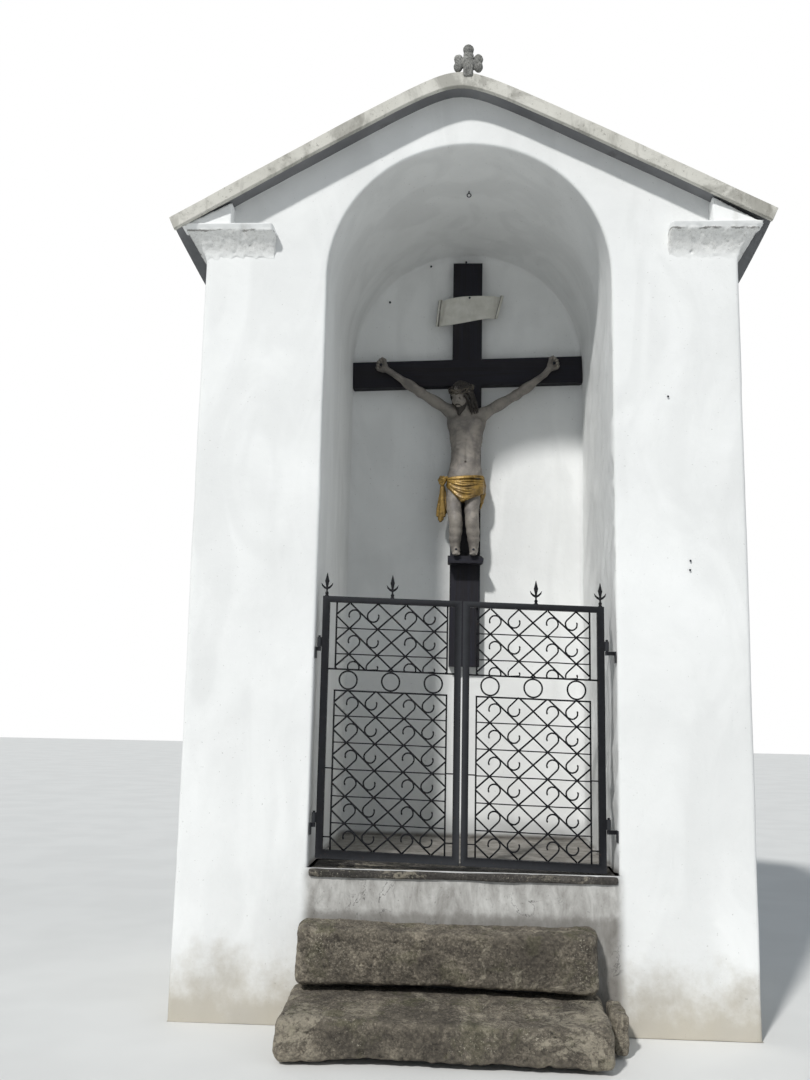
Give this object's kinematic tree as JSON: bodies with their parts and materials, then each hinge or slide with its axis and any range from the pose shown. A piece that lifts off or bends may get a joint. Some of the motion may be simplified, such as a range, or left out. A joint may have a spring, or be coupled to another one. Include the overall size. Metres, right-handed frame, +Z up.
{
  "type": "wayside shrine",
  "caption": "Rendered masonry wayside shrine with an arched niche, gable roof, stone steps, a crucifix inside and a wrought lattice gate with hinged leaves.",
  "frame": {"origin": "on the ground at the middle of the foot of the front wall, in the plane of the front wall", "axes": "+X to the right of a viewer who faces the front, +Y into the niche, +Z up"},
  "size_m": [3.008, 2.28, 4.815],
  "materials": {
    "lime_render": "hand trowelled lime render, matt",
    "step_stone": "worn and pitted, mossy",
    "sill_stone": "dirty, worn",
    "soffit_boards": "painted dark grey, matt",
    "roof_sheet": "weathered",
    "verge_band": "light beige grey, matt",
    "cross_stone": "weathered",
    "dark_wood": "black brown stain, matt",
    "painted_board": "old off-white paint",
    "painted_figure": "carved and painted",
    "ochre_paint": "gold ochre paint",
    "twig_wood": "dark twisted twigs",
    "wrought_iron": "black paint over wrought iron, weathered"
  },
  "bodies": {
    "shrine": {"base_block": "lime_render", "left_wall": "lime_render", "right_wall": "lime_render", "back_wall": "lime_render", "vault_left": "lime_render", "vault_right": "lime_render", "left_cornice": "lime_render", "right_cornice": "lime_render", "left_corner_block": "lime_render", "right_corner_block": "lime_render", "lower_step": "step_stone", "upper_step": "step_stone", "side_stone": "step_stone", "sill_slab": "sill_stone", "roof_deck": "soffit_boards", "roof_skin": "roof_sheet", "front_verge_band": "verge_band", "back_verge_band": "verge_band", "ridge_cross": "cross_stone", "vault_hook": "wrought_iron", "cross_upright": "dark_wood", "cross_beam": "dark_wood", "title_board": "painted_board", "foot_rest": "dark_wood", "figure_body": "painted_figure", "figure_left_arm": "painted_figure", "figure_right_arm": "painted_figure", "figure_nails": "wrought_iron", "crown_of_thorns": "twig_wood", "loincloth": "ochre_paint", "left_hinge_pintles": "wrought_iron", "right_hinge_pintles": "wrought_iron"},
    "left_gate_leaf": {"left_leaf_frame": "wrought_iron", "left_upper_lattice": "wrought_iron", "left_ring_row": "wrought_iron", "left_lower_lattice": "wrought_iron", "left_spear_heads": "wrought_iron"},
    "right_gate_leaf": {"right_leaf_frame": "wrought_iron", "right_upper_lattice": "wrought_iron", "right_ring_row": "wrought_iron", "right_lower_lattice": "wrought_iron", "right_spear_heads": "wrought_iron"}
  },
  "joints": [
    {"name": "left_gate_hinge", "type": "hinge", "parent": "shrine", "child": "left_gate_leaf", "pos_m": [-0.703, 0.026, 1.3], "axis": [0, 0, -1], "range_deg": [0, 100]},
    {"name": "right_gate_hinge", "type": "hinge", "parent": "shrine", "child": "right_gate_leaf", "pos_m": [0.679, 0.026, 1.3], "axis": [0, 0, 1], "range_deg": [0, 100]}
  ]
}
